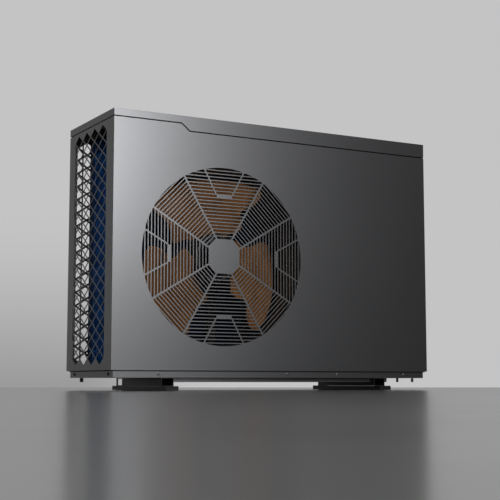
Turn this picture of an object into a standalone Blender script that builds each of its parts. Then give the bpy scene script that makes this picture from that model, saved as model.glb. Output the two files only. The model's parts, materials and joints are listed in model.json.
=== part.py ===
"""Pool heat pump unit: sheet-metal casing, fan, refrigerant circuit and water connections.

Everything is placed in the casing's own frame, whose origin is the casing's front left corner
at the panels' bottom edge: +X to the right, +Y to the back, +Z up.  One empty carries that
frame to the world, where the floor is z = 0 and the whole object is centred on x = y = 0.
Run with: blender --background --python part.py
"""

import math

import bmesh
import bpy
from mathutils import Matrix

# ---------------------------------------------------------------- driving dimensions (metres)
WIDTH = 1.000             # casing, side to side
DEPTH = 0.3256            # casing, front to back
PANEL_HEIGHT = 0.680      # from the panels' bottom edge to the top of the cover
GROUND_CLEARANCE = 0.052  # from the floor to the panels' bottom edge
SHEET = 0.0015            # sheet metal of the casing
GAP = 0.0004              # air left between pieces that touch

COVER_SKIRT = 0.019       # height of the top cover's skirt at the sides and back
FASCIA = 0.039            # height of the top cover's front fascia
JOG = (0.1947, 0.2196)    # where the fascia's lower edge slants down, from and to X
SEAM = 0.003              # shadow gap between the fascia and the front panel

PAN_INSET = 0.0085        # base pan, in from the casing all round
PAN_HEIGHT = 0.019        # base pan, below the panels
PAN_LIP = 0.012           # base pan, behind the panels
STIFFENER = 0.0115        # depth of the pressed floor under the base pan

FOOT_X = (0.1631, 0.8369)  # centre lines of the two feet
FOOT_WIDTH = 0.036
FOOT_RAIL_LENGTH = 0.303
FOOT_STRIP_LENGTH = 0.363
FOOT_STRIP_HEIGHT = 0.011
SEAT_DEPTH = 0.0006        # shallow recess in the strip that the rail stands in

FAN_X, FAN_Z = 0.3235, 0.3065   # fan axis
GRILLE_RADIUS = 0.242
FAN_RADIUS = 0.225
HUB_RADIUS = 0.068
HUB_FRONT, HUB_REAR = 0.040, 0.108

UNION_REACH = 0.045       # how far the water unions stand out at the back
PIPE_RADIUS = 0.025       # 50 mm pool pipe
WATER_X = 0.905           # water tubes, side to side
INLET_Z, OUTLET_Z = 0.120, 0.380

# The front face's place in the world: the feet reach furthest forward and the unions furthest
# back, and the origin is halfway between them.
FOOT_REACH = (FOOT_STRIP_LENGTH - DEPTH) / 2
FRONT_Y = (FOOT_REACH - DEPTH - UNION_REACH) / 2

# ---------------------------------------------------------------- scene, collections, materials
for leftover in list(bpy.data.objects):
    bpy.data.objects.remove(leftover, do_unlink=True)

PARTS = bpy.data.collections.new("heat_pump_unit")
CUTTERS = bpy.data.collections.new("cutters")
for collection in (PARTS, CUTTERS):
    bpy.context.scene.collection.children.link(collection)


def make_material(name, colour, roughness, metallic=0.0):
    """A Principled BSDF with one colour."""
    material = bpy.data.materials.new(name)
    material.use_nodes = True
    shader = material.node_tree.nodes["Principled BSDF"]
    shader.inputs["Base Color"].default_value = (*colour, 1.0)
    shader.inputs["Roughness"].default_value = roughness
    shader.inputs["Metallic"].default_value = metallic
    material.diffuse_color = (*colour, 1.0)
    return material


PAINT = make_material("graphite_paint", (0.115, 0.115, 0.118), 0.42, 0.6)
BLACK_STEEL = make_material("black_steel", (0.030, 0.030, 0.032), 0.50, 0.3)
GALVANISED = make_material("galvanised_steel", (0.55, 0.56, 0.58), 0.40, 0.9)
RUBBER = make_material("rubber", (0.020, 0.020, 0.020), 0.80)
BLACK_PLASTIC = make_material("black_plastic", (0.018, 0.018, 0.020), 0.45)
BLADE_PLASTIC = make_material("bronze_blade", (0.240, 0.115, 0.045), 0.45)
FIN_BLUE = make_material("blue_fin", (0.010, 0.045, 0.160), 0.40, 0.4)
COPPER = make_material("copper", (0.720, 0.330, 0.180), 0.30, 1.0)
BRASS = make_material("brass", (0.700, 0.520, 0.220), 0.32, 1.0)
STEEL = make_material("bright_steel", (0.600, 0.600, 0.610), 0.30, 1.0)
TANK_BLACK = make_material("black_enamel", (0.016, 0.016, 0.017), 0.30)
PVC_GREY = make_material("grey_pvc", (0.300, 0.310, 0.320), 0.40)
BOARD_GREEN = make_material("circuit_board", (0.020, 0.170, 0.070), 0.50)


def make_empty(name, location, parent=None):
    """A frame that objects are parented to."""
    empty = bpy.data.objects.new(name, None)
    PARTS.objects.link(empty)
    empty.location = location
    empty.parent = parent
    return empty


CASING = make_empty("casing_frame", (-WIDTH / 2, FRONT_Y, GROUND_CLEARANCE))
FAN_AXIS = make_empty("fan_axis", (FAN_X, 0, FAN_Z), CASING)

# Turning a drawing from its own XY plane, with Z as thickness, into the casing's planes.
FACING_FRONT = (math.radians(90), 0, 0)                  # x to X, y to Z
FACING_SIDE = (math.radians(90), 0, math.radians(90))    # x to Y, y to Z
ALONG_Y = (math.radians(-90), 0, 0)                      # z to Y
ALONG_X = (0, math.radians(90), 0)                       # z to X


# ---------------------------------------------------------------- modelling tools
def add(name, mesh, material, location=(0, 0, 0), rotation=(0, 0, 0), parent=CASING):
    """Link a mesh as one named sub-part."""
    part = bpy.data.objects.new(name, mesh)
    PARTS.objects.link(part)
    part.location = location
    part.rotation_euler = rotation
    part.parent = parent
    if not mesh.materials:
        mesh.materials.append(material)
    return part


def box_mesh(low, high):
    """A box between two corners."""
    mesh = bpy.data.meshes.new("box")
    bm = bmesh.new()
    bmesh.ops.create_cube(bm, size=1.0)
    size = [b - a for a, b in zip(low, high)]
    middle = [(a + b) / 2 for a, b in zip(low, high)]
    bm.transform(Matrix.Translation(middle) @ Matrix.Diagonal((*size, 1.0)))
    bm.to_mesh(mesh)
    bm.free()
    return mesh


def box(name, low, high, material, bevel=0.0, parent=CASING):
    """A box between two corners of the casing frame, with its edges rounded."""
    part = add(name, box_mesh(low, high), material, parent=parent)
    if bevel:
        rounding = part.modifiers.new("rounding", "BEVEL")
        rounding.width = bevel
        rounding.segments = 1
    return part


def tray(name, low, high, wall, open_side, material):
    """A thin box without its face on open_side, such as (0, 0, 1) for an open top."""
    mesh = box_mesh(low, high)
    bm = bmesh.new()
    bm.from_mesh(mesh)
    bm.normal_update()
    gone = [face for face in bm.faces if face.normal.dot(open_side) > 0.9]
    bmesh.ops.delete(bm, geom=gone, context="FACES")
    bm.to_mesh(mesh)
    bm.free()
    part = add(name, mesh, material)
    skin = part.modifiers.new("sheet", "SOLIDIFY")
    skin.thickness = wall
    skin.offset = -1.0
    skin.use_even_offset = True
    return part


def flat_mesh(outline, holes, thickness):
    """A flat sheet in the XY plane with straight-edged holes, centred on z = 0."""
    curve = bpy.data.curves.new("outline", "CURVE")
    curve.dimensions = "2D"
    curve.fill_mode = "BOTH"
    curve.extrude = thickness / 2
    for points in (outline, *holes):
        spline = curve.splines.new("POLY")
        spline.points.add(len(points) - 1)
        for point, (x, y) in zip(spline.points, points):
            point.co = (x, y, 0, 1)
        spline.use_cyclic_u = True
    drawing = bpy.data.objects.new("outline", curve)
    bpy.context.scene.collection.objects.link(drawing)
    depsgraph = bpy.context.evaluated_depsgraph_get()
    mesh = bpy.data.meshes.new_from_object(drawing.evaluated_get(depsgraph))
    bpy.data.objects.remove(drawing, do_unlink=True)
    bm = bmesh.new()
    bm.from_mesh(mesh)
    bmesh.ops.remove_doubles(bm, verts=bm.verts, dist=0.00001)
    bm.to_mesh(mesh)
    bm.free()
    return mesh


def turned(name, profile, steps, material, location, rotation=(0, 0, 0), parent=CASING, ring=False):
    """A turned piece: (radius, height) points from the top, down the outer side, to the bottom.

    With ring, the profile closes on itself round a central bore.
    """
    mesh = bpy.data.meshes.new("profile")
    bm = bmesh.new()
    verts = [bm.verts.new((radius, 0, height)) for radius, height in profile]
    pairs = list(zip(verts, verts[1:]))
    if ring:
        pairs.append((verts[-1], verts[0]))
    for pair in pairs:
        bm.edges.new(pair)
    bm.to_mesh(mesh)
    bm.free()
    part = add(name, mesh, material, location, rotation, parent)
    screw = part.modifiers.new("turn", "SCREW")
    screw.steps = steps
    screw.render_steps = steps
    screw.use_merge_vertices = True
    screw.merge_threshold = 0.00001
    screw.use_smooth_shade = True
    return part


def tube(name, route, radius, bend, material, parent=CASING):
    """A bent round pipe: straight runs between the route's points, with rounded corners."""
    points = [route[0]]
    for before, corner, after in zip(route, route[1:], route[2:]):
        points += corner_points(before, corner, after, bend)
    points.append(route[-1])
    curve = bpy.data.curves.new(name, "CURVE")
    curve.dimensions = "3D"
    curve.bevel_depth = radius
    curve.bevel_resolution = 2
    curve.use_fill_caps = True
    spline = curve.splines.new("POLY")
    spline.points.add(len(points) - 1)
    for point, place in zip(spline.points, points):
        point.co = (*place, 1)
    curve.materials.append(material)
    pipe = bpy.data.objects.new(name, curve)
    PARTS.objects.link(pipe)
    pipe.parent = parent
    return pipe


def corner_points(before, corner, after, bend, steps=2):
    """Points of a rounded corner, as a quadratic curve that starts and ends bend away from it."""
    def toward(target):
        run = [t - c for t, c in zip(target, corner)]
        length = math.dist(target, corner)
        return [c + r / length * bend for c, r in zip(corner, run)]
    start, end = toward(before), toward(after)
    places = []
    for step in range(steps + 1):
        t = step / steps
        weights = ((1 - t) ** 2, 2 * t * (1 - t), t * t)
        places.append(tuple(sum(w * p[i] for w, p in zip(weights, (start, corner, end)))
                            for i in range(3)))
    return places


def combine(part, mesh, operation, location=(0, 0, 0), rotation=(0, 0, 0)):
    """Cut a mesh out of a part, or join it on, with an exact Boolean."""
    cutter = bpy.data.objects.new(part.name + "_cutter", mesh)
    CUTTERS.objects.link(cutter)
    cutter.location = location
    cutter.rotation_euler = rotation
    cutter.parent = CASING
    cutter.hide_render = True
    cutter.display_type = "WIRE"
    boolean = part.modifiers.new(operation.lower(), "BOOLEAN")
    boolean.operation = operation
    boolean.solver = "EXACT"
    boolean.object = cutter
    return part


def cylinder_mesh(radius, length, segments=24):
    """A cylinder that stands on z = 0."""
    mesh = bpy.data.meshes.new("cylinder")
    bm = bmesh.new()
    bmesh.ops.create_cone(bm, cap_ends=True, segments=segments,
                          radius1=radius, radius2=radius, depth=length)
    bm.transform(Matrix.Translation((0, 0, length / 2)))
    bm.to_mesh(mesh)
    bm.free()
    return mesh


def circle(centre_x, centre_y, radius, segments):
    """Points round a circle."""
    turns = [math.tau * step / segments for step in range(segments)]
    return [(centre_x + radius * math.cos(a), centre_y + radius * math.sin(a)) for a in turns]


def rectangle(x0, y0, x1, y1):
    """The four corners of a rectangle."""
    return [(x0, y0), (x1, y0), (x1, y1), (x0, y1)]


def clip(polygon, point, normal):
    """The part of a convex polygon on the side of a line that its normal points to."""
    def height(corner):
        return (corner[0] - point[0]) * normal[0] + (corner[1] - point[1]) * normal[1]
    kept = []
    for here, there in zip(polygon, polygon[1:] + polygon[:1]):
        h0, h1 = height(here), height(there)
        if h0 >= 0:
            kept.append(here)
        if h0 * h1 < 0:
            t = h0 / (h0 - h1)
            kept.append((here[0] + t * (there[0] - here[0]), here[1] + t * (there[1] - here[1])))
    return kept


def area(polygon):
    """The area of a polygon."""
    pairs = zip(polygon, polygon[1:] + polygon[:1])
    return abs(sum(a[0] * b[1] - b[0] * a[1] for a, b in pairs)) / 2


# ---------------------------------------------------------------- the fan grille's slots
SLAT_PITCH = 0.0094
SLAT_HALF = 0.0014        # half a slat's width
SPOKE_HALF = 0.0024       # half a main spoke's width
BRACE_HALF = 0.0020       # half a short outer spoke's width
SMALLEST_SLOT = 0.000025  # slots of less area, in square metres, are left solid
HUB_FLAT = 0.0470         # first slot edge above the hub, in the upright and level sectors
HUB_SLANT = 0.0515        # the same in the diagonal sectors
SPOKE_FOOT = (0.0235, 0.0475)   # where a main spoke leaves the hub, from the fan axis
SPOKE_TIP = (0.1210, 0.2110)    # and a point on its way to the rim
BRACE_FOOT = (0.0220, 0.1630)   # the short spokes, from the thick bar
BRACE_TIP = (0.0595, 0.2330)
BAR_SLOT = 12             # the slot that the thick bar closes in its middle
BAR_HALF = 0.023


def side_of(foot, tip, half_width, side):
    """A line along one edge of a spoke: a point and a normal. side is +1 for its left edge."""
    run_x, run_y = tip[0] - foot[0], tip[1] - foot[1]
    length = math.hypot(run_x, run_y)
    normal = (-run_y / length * side, run_x / length * side)
    return (foot[0] + normal[0] * half_width, foot[1] + normal[1] * half_width), normal


def mirrored(point):
    """A point on the other side of the upright centre line."""
    return (-point[0], point[1])


def swapped(point):
    """A point mirrored in the diagonal."""
    return (point[1], point[0])


def upright_sector():
    """Slots of the sector above the hub, about the fan axis."""
    disc = circle(0, 0, GRILLE_RADIUS, 72)
    right = side_of(SPOKE_FOOT, SPOKE_TIP, SPOKE_HALF, 1)
    left = side_of(mirrored(SPOKE_FOOT), mirrored(SPOKE_TIP), SPOKE_HALF, -1)
    wedge = clip(clip(disc, *right), *left)
    slots = []
    for number in range(21):
        low = HUB_FLAT + SLAT_PITCH * number
        high = low + SLAT_PITCH - 2 * SLAT_HALF
        slot = clip(clip(wedge, (0, low), (0, 1)), (0, high), (0, -1))
        if number < BAR_SLOT:
            slots.append(slot)
        elif number == BAR_SLOT:
            slots.append(clip(slot, (BAR_HALF, 0), (1, 0)))
            slots.append(clip(slot, (-BAR_HALF, 0), (-1, 0)))
        else:
            slots += braced(slot)
    return slots


def braced(slot):
    """One slot divided in three by the two short spokes."""
    foot, tip = BRACE_FOOT, BRACE_TIP
    far_foot, far_tip = mirrored(foot), mirrored(tip)
    middle = clip(slot, *side_of(foot, tip, BRACE_HALF, 1))
    middle = clip(middle, *side_of(far_foot, far_tip, BRACE_HALF, -1))
    right = clip(slot, *side_of(foot, tip, BRACE_HALF, -1))
    left = clip(slot, *side_of(far_foot, far_tip, BRACE_HALF, 1))
    return [left, middle, right]


def diagonal_sector():
    """Slots of the sector to the upper right, square to the diagonal."""
    disc = circle(0, 0, GRILLE_RADIUS, 72)
    upper = side_of(SPOKE_FOOT, SPOKE_TIP, SPOKE_HALF, -1)
    lower = side_of(swapped(SPOKE_FOOT), swapped(SPOKE_TIP), SPOKE_HALF, 1)
    wedge = clip(clip(disc, *upper), *lower)
    root = math.sqrt(0.5)
    slots = []
    for number in range(21):
        low = HUB_SLANT + SLAT_PITCH * number
        high = low + SLAT_PITCH - 2 * SLAT_HALF
        slot = clip(wedge, (low * root, low * root), (root, root))
        slots.append(clip(slot, (high * root, high * root), (-root, -root)))
    return slots


def grille_slots():
    """All slots, in the front panel's own drawing."""
    slots = []
    for sector in (upright_sector(), diagonal_sector()):
        for slot in sector:
            if len(slot) > 2 and area(slot) > SMALLEST_SLOT:
                slots += [quarter_turned(slot, turn) for turn in range(4)]
    return slots


def quarter_turned(polygon, turns):
    """A polygon about the fan axis, turned by right angles and moved to the fan's place."""
    for _ in range(turns):
        polygon = [(-y, x) for x, y in polygon]
    return [(x + FAN_X, y + FAN_Z) for x, y in polygon]


# ---------------------------------------------------------------- diamond mesh
MESH_PITCH = (0.0584, 0.0376)   # width and height of one diamond cell
MESH_STRUT = 0.0033
MESH_BOTTOM = 0.0125


def diamond_holes(first, columns, rows, pitch_x, pitch_z, strut):
    """Diamond holes in interlaced columns, with half diamonds along both upright edges.

    first is where the first whole cell's left corner is, and the mesh's upright edge.
    """
    half_x, half_z = pitch_x / 2, pitch_z / 2
    slant = math.hypot(half_x, half_z)
    hole_x = half_x - strut / 2 * slant / half_z
    hole_z = half_z - strut / 2 * slant / half_x
    last = first + pitch_x * columns
    holes = []
    for column in range(-1, 2 * columns):
        between = column % 2
        centre_x = first + half_x * (column + 1)
        for row in range(rows - between):
            centre_z = MESH_BOTTOM + half_z * (1 + between) + pitch_z * row
            hole = [(centre_x - hole_x, centre_z), (centre_x, centre_z - hole_z),
                    (centre_x + hole_x, centre_z), (centre_x, centre_z + hole_z)]
            holes.append(clip(clip(hole, (first, 0), (1, 0)), (last, 0), (-1, 0)))
    return holes


# ---------------------------------------------------------------- casing
SKIRT_Z = PANEL_HEIGHT - COVER_SKIRT    # lower edge of the cover's skirt
FASCIA_Z = PANEL_HEIGHT - FASCIA        # lower edge of its front fascia
SIDE_TOP = SKIRT_Z - SEAM               # top edge of the side and rear panels
POST_Y = 0.3003                         # front edge of the rear corner post
POST_X = 0.018                          # its leg across the back
GUARD_X = 0.620                         # where the rear guard ends and the rear panel starts
GUARD_BAR = (0.0365, 0.0405)            # an upright bar in the rear guard, beside the corner post


def make_front_panel():
    top = FASCIA_Z - SEAM
    outline = [(0, 0), (WIDTH, 0), (WIDTH, top), (JOG[1] - SEAM / 2, top),
               (JOG[0] - SEAM / 2, SKIRT_Z - SEAM), (0, SKIRT_Z - SEAM)]
    mesh = flat_mesh(outline, grille_slots(), SHEET)
    add("front_panel", mesh, PAINT, (0, SHEET / 2, 0), FACING_FRONT)


def make_top_cover():
    cover = tray("top_cover", (0, 0, FASCIA_Z), (WIDTH, DEPTH, PANEL_HEIGHT), SHEET,
                 (0, 0, -1), PAINT)
    margin = 0.01
    behind = box_mesh((-margin, SHEET + GAP / 2, FASCIA_Z - margin),
                      (WIDTH + margin, DEPTH + margin, SKIRT_Z))
    combine(cover, behind, "DIFFERENCE")
    step = [(-margin, FASCIA_Z - margin), (JOG[1] + 0.0125, FASCIA_Z - margin), (JOG[1], FASCIA_Z),
            (JOG[0], SKIRT_Z), (-margin, SKIRT_Z)]
    corner = flat_mesh(step, [], 0.02)
    combine(cover, corner, "DIFFERENCE", (0, 0, 0), FACING_FRONT)


def make_side_panels():
    left = rectangle(SHEET + GAP, 0, POST_Y - GAP, SIDE_TOP)
    holes = diamond_holes(0.0507, 4, 17, *MESH_PITCH, MESH_STRUT)
    add("left_side_panel", flat_mesh(left, holes, SHEET), PAINT, (SHEET / 2, 0, 0), FACING_SIDE)

    right = rectangle(SHEET + GAP, 0, DEPTH - SHEET - GAP, SIDE_TOP)
    service = rectangle(0.060, 0.330, 0.265, 0.500)
    grip = rectangle(0.1078, 0.545, 0.2178, 0.585)
    panel = flat_mesh(right, [service, grip], SHEET)
    add("right_side_panel", panel, PAINT, (WIDTH - SHEET / 2, 0, 0), FACING_SIDE)

    cover = rectangle(0.060 + GAP, 0.330 + GAP, 0.265 - GAP, 0.500 - GAP)
    add("service_cover", flat_mesh(cover, [], SHEET), PAINT, (WIDTH - SHEET / 2, 0, 0), FACING_SIDE)
    tray("handle_cup", (WIDTH - 0.026, 0.1078 + GAP, 0.545 + GAP),
         (WIDTH, 0.2178 - GAP, 0.585 - GAP), 0.002, (1, 0, 0), BLACK_PLASTIC)


def make_rear():
    leg = [(0, POST_Y), (SHEET, POST_Y), (SHEET, DEPTH - SHEET), (POST_X, DEPTH - SHEET),
           (POST_X, DEPTH), (0, DEPTH)]
    add("rear_corner_post", flat_mesh(leg, [], SIDE_TOP), PAINT, (0, 0, SIDE_TOP / 2))

    guard = rectangle(POST_X + GAP, 0, GUARD_X, SIDE_TOP)
    pitch_x, pitch_z = 2 * MESH_PITCH[0], 2 * MESH_PITCH[1]
    holes = []
    for hole in diamond_holes(POST_X + 0.004, 5, 8, pitch_x, pitch_z, 2 * MESH_STRUT):
        parts = (clip(hole, (GUARD_BAR[0], 0), (-1, 0)), clip(hole, (GUARD_BAR[1], 0), (1, 0)))
        holes += [part for part in parts if len(part) > 2 and area(part) > SMALLEST_SLOT]
    y = DEPTH - SHEET / 2
    add("rear_guard", flat_mesh(guard, holes, SHEET), BLACK_STEEL, (0, y, 0), FACING_FRONT)

    panel = rectangle(GUARD_X + GAP, 0, WIDTH - GAP, SIDE_TOP)
    ports = [circle(WATER_X, z, PIPE_RADIUS + 0.003, 24) for z in (INLET_Z, OUTLET_Z)]
    ports.append(circle(GLAND_X, GLAND_Z, 0.0105, 16))
    add("rear_panel", flat_mesh(panel, ports, SHEET), PAINT, (0, y, 0), FACING_FRONT)


# ---------------------------------------------------------------- base and feet
PAN_FLOOR = -PAN_HEIGHT + SHEET + GAP    # what stands in the base pan stands at this height
FOOT_TOP = -PAN_HEIGHT - GAP
STRIP_TOP = FOOT_STRIP_HEIGHT - GROUND_CLEARANCE
RAIL_Y = (DEPTH - FOOT_RAIL_LENGTH) / 2
STRIP_Y = (DEPTH - FOOT_STRIP_LENGTH) / 2


def make_base():
    tray("base_pan", (PAN_INSET, PAN_INSET, -PAN_HEIGHT),
         (WIDTH - PAN_INSET, DEPTH - PAN_INSET, PAN_LIP), SHEET, (0, 0, 1), PAINT)
    half = FOOT_WIDTH / 2 + 2 * GAP
    low, high = -PAN_HEIGHT - STIFFENER, -PAN_HEIGHT - GAP
    tray("base_stiffener", (FOOT_X[0] + half, 0.030, low), (FOOT_X[1] - half, 0.290, high),
         SHEET, (0, 0, 1), PAINT)
    tray("base_stiffener_end", (FOOT_X[1] + half, 0.020, low), (FOOT_X[1] + half + 0.013, 0.290, high),
         SHEET, (0, 0, 1), PAINT)
    spouts = {"drain_spout_rear": (0.030, 0.285, 0.0050), "drain_spout_front": (0.908, 0.022, 0.0036),
              "drain_spout_corner": (0.962, 0.022, 0.0036)}
    for name, (x, y, radius) in spouts.items():
        bore = radius - 0.0012
        profile = [(bore, high), (radius, high), (radius, low), (bore, low)]
        turned(name, profile, 12, BLACK_PLASTIC, (x, y, 0), ring=True)


def make_foot(side, centre_x):
    """One foot: a square rail, open at its ends, on a steel strip with a bolt slot at each end.

    Only the left foot's rail has a window through its sides near the back.
    """
    half = FOOT_WIDTH / 2
    wall = 0.002
    seat = STRIP_TOP - SEAT_DEPTH
    height = FOOT_TOP - seat - GAP
    section = rectangle(-half, 0, half, height)
    hollow = rectangle(-half + wall, wall, half - wall, height - wall)
    rail = add("foot_rail_" + side, flat_mesh(section, [hollow], FOOT_RAIL_LENGTH), BLACK_STEEL,
               (centre_x, DEPTH / 2, seat + GAP), FACING_FRONT)
    if side == "left":
        window = box_mesh((centre_x - FOOT_WIDTH, 0.274, seat + GAP + wall / 2),
                          (centre_x + FOOT_WIDTH, 0.3055, FOOT_TOP - wall / 2))
        combine(rail, window, "DIFFERENCE")

    ends = (STRIP_Y + 0.0125, STRIP_Y + FOOT_STRIP_LENGTH - 0.0125)
    slots = [bolt_slot(y) for y in ends]
    outline = rectangle(-half, STRIP_Y, half, STRIP_Y + FOOT_STRIP_LENGTH)
    strip = add("foot_strip_" + side, flat_mesh(outline, slots, FOOT_STRIP_HEIGHT), BLACK_STEEL,
                (centre_x, 0, STRIP_TOP - FOOT_STRIP_HEIGHT / 2))
    recess = box_mesh((centre_x - FOOT_WIDTH, RAIL_Y - GAP, seat),
                      (centre_x + FOOT_WIDTH, RAIL_Y + FOOT_RAIL_LENGTH + GAP, STRIP_TOP + 0.01))
    combine(strip, recess, "DIFFERENCE")


def bolt_slot(y, half_length=0.009, radius=0.0045):
    """A slot across the foot for an anchor bolt, with round ends."""
    points = []
    for side in (1, -1):
        for step in range(5):
            angle = math.radians(-90 + 45 * step) if side > 0 else math.radians(90 + 45 * step)
            points.append((side * (half_length - radius) + radius * math.cos(angle),
                           y + radius * math.sin(angle)))
    return points


# ---------------------------------------------------------------- fan
BLADE_MIDDLE = 101        # angle of the first blade, from level on the right
BLADE_THICKNESS = 0.003
BLADE_FRONT = (0.0460, 0.0125)   # the front edge's depth behind the front panel, at the hub and at the tip
BLADE_REAR = (0.1020, 0.1360)    # the rear edge's depth
# radius, angle of the front edge and of the rear edge, from the blade's middle in degrees
BLADE_OUTLINE = [
    (0.0705, -36, 34),
    (0.0850, -45, 41),
    (0.1030, -51, 56),
    (0.1250, -43, 45),
    (0.1430, -37, 38),
    (0.1700, -44, 37),
    (0.1900, -46, 38),
    (0.2130, -46, 37),
    (FAN_RADIUS, -42, 32),
]


def blade_depth(share, s):
    """Depth of a point of the blade: share runs from hub to tip, s from the front to the rear edge.

    The blade is nearly flat across at the hub and arched at the tip.
    """
    lean = share ** 0.45
    front = BLADE_FRONT[0] + (BLADE_FRONT[1] - BLADE_FRONT[0]) * lean
    rear = BLADE_REAR[0] + (BLADE_REAR[1] - BLADE_REAR[0]) * lean
    arch = s + share * (math.sin(math.pi / 2 * s) - s)
    return front + (rear - front) * arch


def blade_mesh():
    """One swept blade about the fan axis: a curved sheet over its outline."""
    across = 8
    bm = bmesh.new()
    rows = []
    for radius, front, rear in BLADE_OUTLINE:
        share = (radius - HUB_RADIUS) / (FAN_RADIUS - HUB_RADIUS)
        row = []
        for step in range(across + 1):
            s = step / across
            angle = math.radians(front + (rear - front) * s)
            row.append(bm.verts.new((radius * math.cos(angle), blade_depth(share, s),
                                     radius * math.sin(angle))))
        rows.append(row)
    for inner, outer in zip(rows, rows[1:]):
        for i in range(across):
            bm.faces.new((inner[i], inner[i + 1], outer[i + 1], outer[i]))
    bmesh.ops.recalc_face_normals(bm, faces=bm.faces)
    mesh = bpy.data.meshes.new("blade")
    bm.to_mesh(mesh)
    bm.free()
    mesh.shade_smooth()
    return mesh


def make_fan():
    mesh = blade_mesh()
    for number in range(3):
        turn = -math.radians(BLADE_MIDDLE + 120 * number)
        blade = add("fan_blade_%d" % (number + 1), mesh, BLADE_PLASTIC, (0, 0, 0), (0, turn, 0), FAN_AXIS)
        skin = blade.modifiers.new("thickness", "SOLIDIFY")
        skin.thickness = BLADE_THICKNESS
        skin.offset = 0.0

    shaft = 0.006
    bore = shaft + 0.0003
    hub = [(bore, HUB_REAR), (HUB_RADIUS - 0.002, HUB_REAR), (HUB_RADIUS, HUB_REAR - 0.002),
           (HUB_RADIUS, HUB_FRONT + 0.006), (HUB_RADIUS - 0.006, HUB_FRONT), (bore, HUB_FRONT)]
    turned("fan_hub", hub, 36, BLACK_PLASTIC, (0, 0, 0), ALONG_Y, FAN_AXIS, ring=True)
    add("motor_shaft", cylinder_mesh(shaft, 0.112, 20), STEEL, (0, 0.030, 0), ALONG_Y, FAN_AXIS)
    nut = flat_mesh(circle(0, 0, 0.011, 6), [circle(0, 0, bore, 20)], 0.008)
    add("fan_nut", nut, STEEL, (0, HUB_FRONT - 0.0044, 0), FACING_FRONT, FAN_AXIS)

    shroud = [(0.2350, 0.150), (0.2370, 0.150), (0.2350, 0.120), (0.2350, 0.045), (0.2380, 0.0145),
              (0.2445, 0.0058), (0.2425, 0.0058), (0.2360, 0.0145), (0.2330, 0.045), (0.2330, 0.120)]
    turned("fan_shroud", shroud, 32, BLACK_PLASTIC, (FAN_X, 0, FAN_Z), ALONG_Y, ring=True)
    flange = [(0.2425, 0.0054), (0.2600, 0.0054), (0.2600, 0.0030), (0.2425, 0.0030)]
    turned("shroud_flange", flange, 32, BLACK_PLASTIC, (FAN_X, 0, FAN_Z), ALONG_Y, ring=True)

    motor_front = 0.116
    hole = shaft + 0.0003
    motor = [(0, 0.186), (0.046, 0.186), (0.050, 0.180), (0.050, 0.124), (0.046, 0.118),
             (0.018, motor_front), (hole, motor_front), (hole, 0.150), (0, 0.150)]
    turned("fan_motor", motor, 24, BLACK_STEEL, (FAN_X, 0, FAN_Z), ALONG_Y)
    box("motor_plate", (FAN_X - 0.080, 0.1864, FAN_Z - 0.040), (FAN_X + 0.080, 0.1890, FAN_Z + 0.040),
        BLACK_STEEL, 0.0005)
    for side, offset in (("left", -0.062), ("right", 0.062)):
        channel = [(-0.012, 0), (0.012, 0), (0.012, 0.022), (0.0105, 0.022), (0.0105, SHEET),
                   (-0.0105, SHEET), (-0.0105, 0.022), (-0.012, 0.022)]
        length = 0.655 - PAN_FLOOR
        add("motor_rail_" + side, flat_mesh(channel, [], length), BLACK_STEEL,
            (FAN_X + offset, 0.1894, PAN_FLOOR + length / 2))


# ---------------------------------------------------------------- evaporator coil
COIL_X = (0.053, 0.596)
COIL_Y = (0.262, 0.298)
COIL_TOP = 0.648


def make_coil():
    box("evaporator_coil", (COIL_X[0], COIL_Y[0], PAN_FLOOR), (COIL_X[1], COIL_Y[1], COIL_TOP), FIN_BLUE)
    ends = {"left": (COIL_X[0] - SHEET - GAP, FIN_BLUE), "right": (COIL_X[1] + GAP, GALVANISED)}
    for side, (x, material) in ends.items():
        box("coil_end_plate_" + side, (x, COIL_Y[0] - 0.001, PAN_FLOOR),
            (x + SHEET, COIL_Y[1] + 0.001, COIL_TOP), material)
    header_x = COIL_X[1] + 0.016
    tube("coil_header", [(header_x, 0.280, 0.030), (header_x, 0.280, 0.620)], 0.008, 0, COPPER)
    box("partition_panel", (PARTITION_X, 0.011, PAN_FLOOR), (PARTITION_X + SHEET, 0.314, 0.652), BLACK_STEEL)


# ---------------------------------------------------------------- refrigerant circuit
PARTITION_X = 0.640
COMPRESSOR = (0.760, 0.190)
COMPRESSOR_RADIUS = 0.058
ACCUMULATOR = (0.684, 0.255)
BARREL = (WATER_X, 0.150)
BARREL_RADIUS = 0.068


def domed(radius, low, high, dome, inner=0.0):
    """The profile of a can with domed ends, from the top of its axis to the bottom."""
    steps = 4
    top = [(max(inner, radius * math.sin(math.radians(90 * i / steps))),
            high - dome * (1 - math.cos(math.radians(90 * i / steps)))) for i in range(steps + 1)]
    bottom = [(r, low + high - z) for r, z in reversed(top)]
    return top + bottom


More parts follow.
